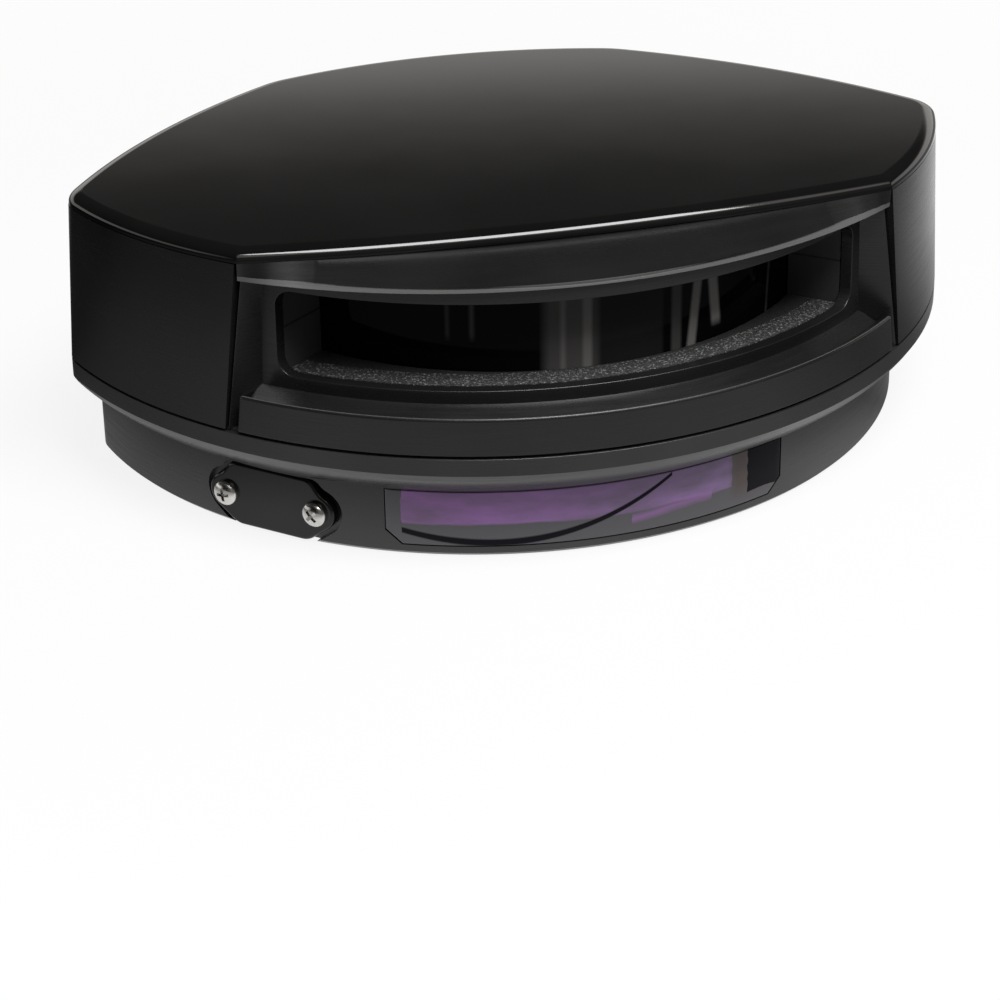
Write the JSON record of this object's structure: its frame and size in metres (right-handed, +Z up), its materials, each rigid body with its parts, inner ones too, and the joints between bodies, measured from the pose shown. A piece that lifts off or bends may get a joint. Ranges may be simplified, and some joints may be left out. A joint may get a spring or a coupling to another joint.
{
  "type": "laser presence sensor",
  "caption": "Low black presence sensor with a shield-shaped plan, a curved front slot over a spinning scan mirror, a violet lower window and a screwed connector cover.",
  "frame": {"origin": "centre of the four threaded inserts in the underside, on the underside's plane; the axis of the curved front runs through it", "axes": "+Z up along the axis of the curved front, the scan slot looks towards -Y"},
  "size_m": [0.1244, 0.0936, 0.042],
  "materials": {
    "case_plastic": "satin black moulded plastic",
    "cover_plastic": "smooth black plastic",
    "dark_plastic": "dark fine-grained plastic",
    "seal_rubber": "soft black rubber",
    "scan_glass": "polished infrared window, nearly black",
    "tinted_glass": "polished smoked window with a violet sheen",
    "lens_glass": "clear polished",
    "mirror_face": "polished facets",
    "screw_steel": "plain steel",
    "insert_brass": "turned",
    "cast_metal": "die cast",
    "winding_copper": "enamelled copper on a steel core",
    "magnet_iron": "sintered, grey",
    "board_green": "solder mask",
    "chip_plastic": "moulded package",
    "led_lens": "diffuse white"
  },
  "bodies": {
    "case": {"base_housing": "case_plastic", "lower_window": "tinted_glass", "connector_cover": "cover_plastic", "connector_gasket": "seal_rubber", "connector_cover_screws": "screw_steel", "connector_socket": "dark_plastic", "seam_gasket": "seal_rubber", "upper_housing": "case_plastic", "front_bezel": "case_plastic", "top_cover": "case_plastic", "scan_window": "scan_glass", "window_seal": "seal_rubber", "lower_baffle": "dark_plastic", "upper_baffle": "dark_plastic", "main_board": "board_green", "board_screws": "screw_steel", "processor_chip": "chip_plastic", "status_leds": "led_lens", "chassis": "cast_metal", "chassis_screws": "screw_steel", "optics_screws": "screw_steel", "motor_screws": "screw_steel", "housing_screws": "screw_steel", "mount_inserts": "insert_brass", "motor_board": "board_green", "bearing_sleeve": "cast_metal", "lower_bearing": "screw_steel", "upper_bearing": "screw_steel", "wound_stator": "winding_copper", "laser_holder": "cast_metal", "collimator_lens": "lens_glass", "laser_diode": "screw_steel", "laser_board": "board_green", "receiver_holder": "cast_metal", "receiver_lens": "lens_glass", "detector": "screw_steel", "detector_board": "board_green"},
    "rotor": {"motor_shaft": "screw_steel", "rotor_bell": "screw_steel", "rotor_magnet": "magnet_iron", "mirror_hub": "cast_metal", "mirror_block": "mirror_face", "mirror_clamp": "cast_metal"}
  },
  "joints": [
    {"name": "mirror_spin", "type": "hinge", "parent": "case", "child": "rotor", "pos_m": [0, -0.0126, 0.03], "axis": [0, 0, 1], "continuous": true}
  ]
}
